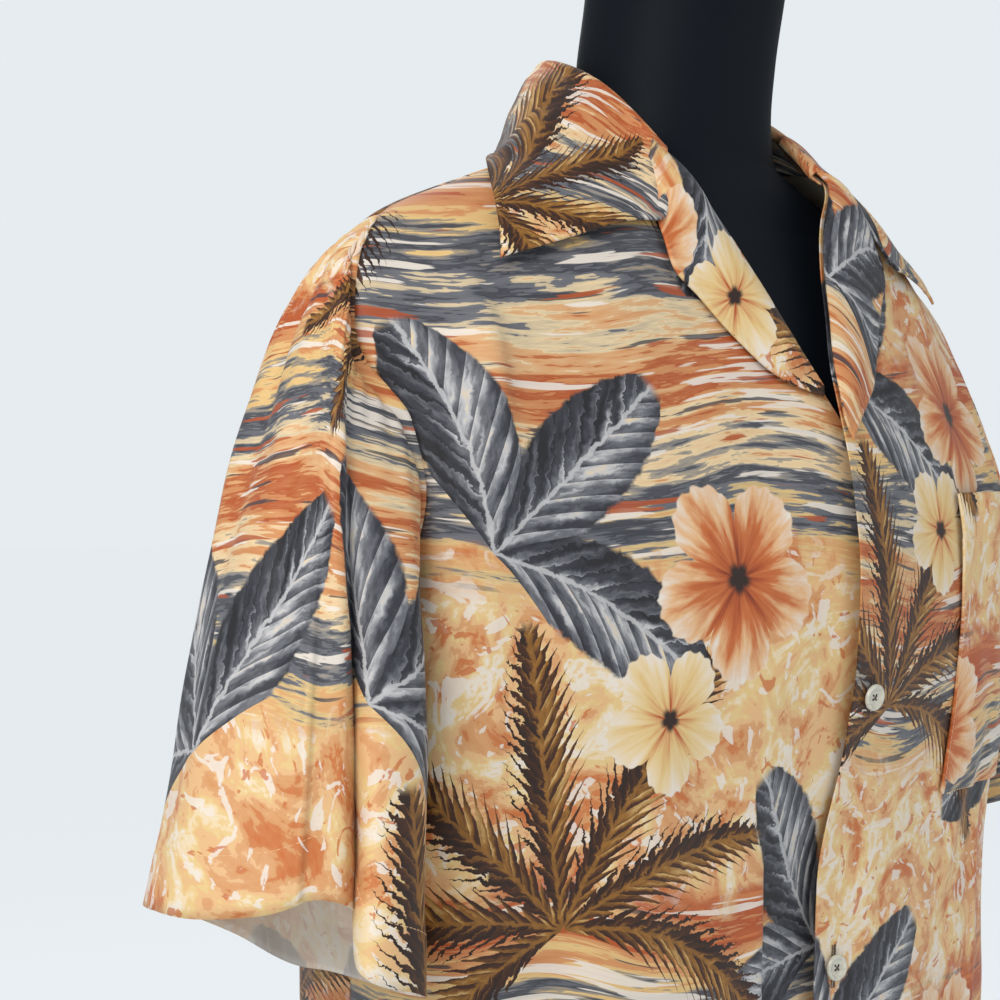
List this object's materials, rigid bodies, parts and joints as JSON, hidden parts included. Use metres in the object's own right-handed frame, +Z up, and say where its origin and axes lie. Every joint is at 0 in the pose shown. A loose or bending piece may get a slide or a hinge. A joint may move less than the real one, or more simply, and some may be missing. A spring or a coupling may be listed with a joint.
{
  "type": "hawaiian shirt on dress form",
  "caption": "Short-sleeved hawaiian shirt with an open camp collar, lapels and a patch chest pocket in soft printed cloth, worn by a limbless black dress form that stands on a round base.",
  "frame": {"origin": "middle of the underside of the dress form's round base, where it rests on the floor", "axes": "+Z up along the pole, -Y out of the shirt's front, +X to the wearer's left"},
  "size_m": [0.6308, 0.33, 1.034],
  "materials": {
    "front_cloth": "smooth softly shining printed cloth",
    "back_cloth": "smooth softly shining printed cloth",
    "sleeve_cloth": "smooth softly shining printed cloth",
    "collar_cloth": "smooth softly shining printed cloth",
    "pearl_button": "pearly",
    "form_cloth": "tight black jersey",
    "form_metal": "satin black"
  },
  "bodies": {
    "root": {"front_right": "front_cloth", "front_left": "front_cloth", "back": "back_cloth", "sleeve_right": "sleeve_cloth", "sleeve_left": "sleeve_cloth", "collar": "collar_cloth", "lapel_right": "collar_cloth", "lapel_left": "collar_cloth", "pocket": "front_cloth", "button_1": "pearl_button", "button_2": "pearl_button", "button_3": "pearl_button", "button_4": "pearl_button", "form_body": "form_cloth", "form_pole": "form_metal", "form_base": "form_metal"}
  },
  "joints": []
}
